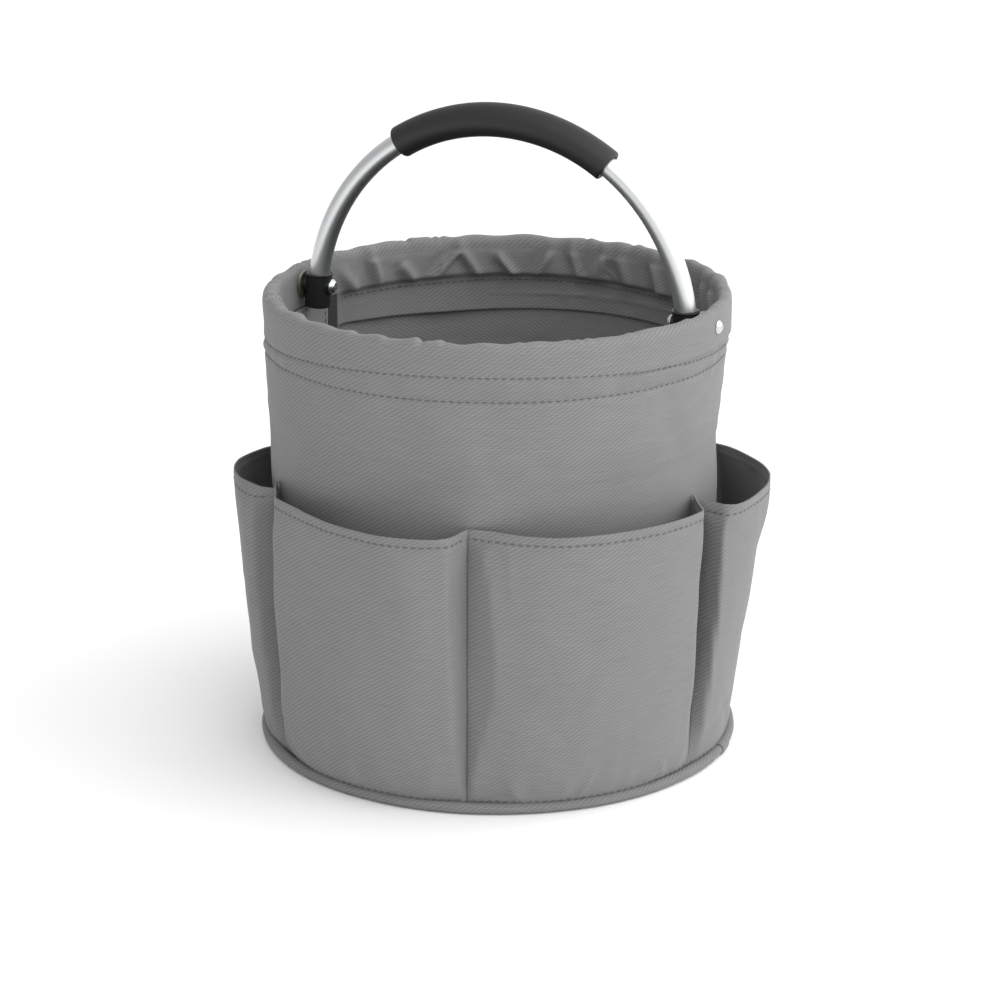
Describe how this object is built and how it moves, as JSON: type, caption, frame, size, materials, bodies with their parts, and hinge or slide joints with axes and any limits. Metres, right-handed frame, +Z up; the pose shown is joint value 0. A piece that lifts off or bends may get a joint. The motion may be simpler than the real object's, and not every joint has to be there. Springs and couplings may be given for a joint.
{
  "type": "bucket organizer",
  "caption": "Round fabric tool bucket with outside pockets all round, a hooped rim and an arched carrying handle that folds down.",
  "frame": {"origin": "centre of the base, on the floor", "axes": "+Z up; X along the handle's pivot axis"},
  "size_m": [0.2995, 0.3047, 0.3702],
  "materials": {
    "woven_polyester": "fine twill weave, matt",
    "piping_cloth": "bias binding, matt",
    "hook_and_loop": "looped pile, matt",
    "board": "pressed sheet",
    "anodised_aluminium": "satin anodised",
    "soft_grip": "smooth satin",
    "socket_plastic": "moulded",
    "passivated_zinc": "yellow passivated",
    "plated_steel": "bright plated"
  },
  "bodies": {
    "bucket": {"base_board": "board", "base_cover": "woven_polyester", "base_lining": "woven_polyester", "base_piping": "piping_cloth", "bucket_wall": "woven_polyester", "cap_nut_left": "plated_steel", "cap_nut_right": "plated_steel", "closure_flap_left": "woven_polyester", "closure_flap_right": "woven_polyester", "closure_patch_left": "hook_and_loop", "closure_patch_right": "hook_and_loop", "piping_join": "piping_cloth", "pivot_bolt_left": "plated_steel", "pivot_bolt_right": "plated_steel", "pocket_1": "woven_polyester", "pocket_2": "woven_polyester", "pocket_3": "woven_polyester", "pocket_4": "woven_polyester", "pocket_5": "woven_polyester", "pocket_6": "woven_polyester", "rim_hoop": "anodised_aluminium", "spacer_washer_left": "passivated_zinc", "spacer_washer_right": "passivated_zinc"},
    "handle": {"handle_tube": "anodised_aluminium", "handle_grip": "soft_grip", "socket_left": "socket_plastic", "socket_right": "socket_plastic"}
  },
  "joints": [
    {"name": "handle_fold", "type": "hinge", "parent": "bucket", "child": "handle", "pos_m": [0, 0, 0.255], "axis": [1, 0, 0], "range_deg": [-90, 90]}
  ]
}
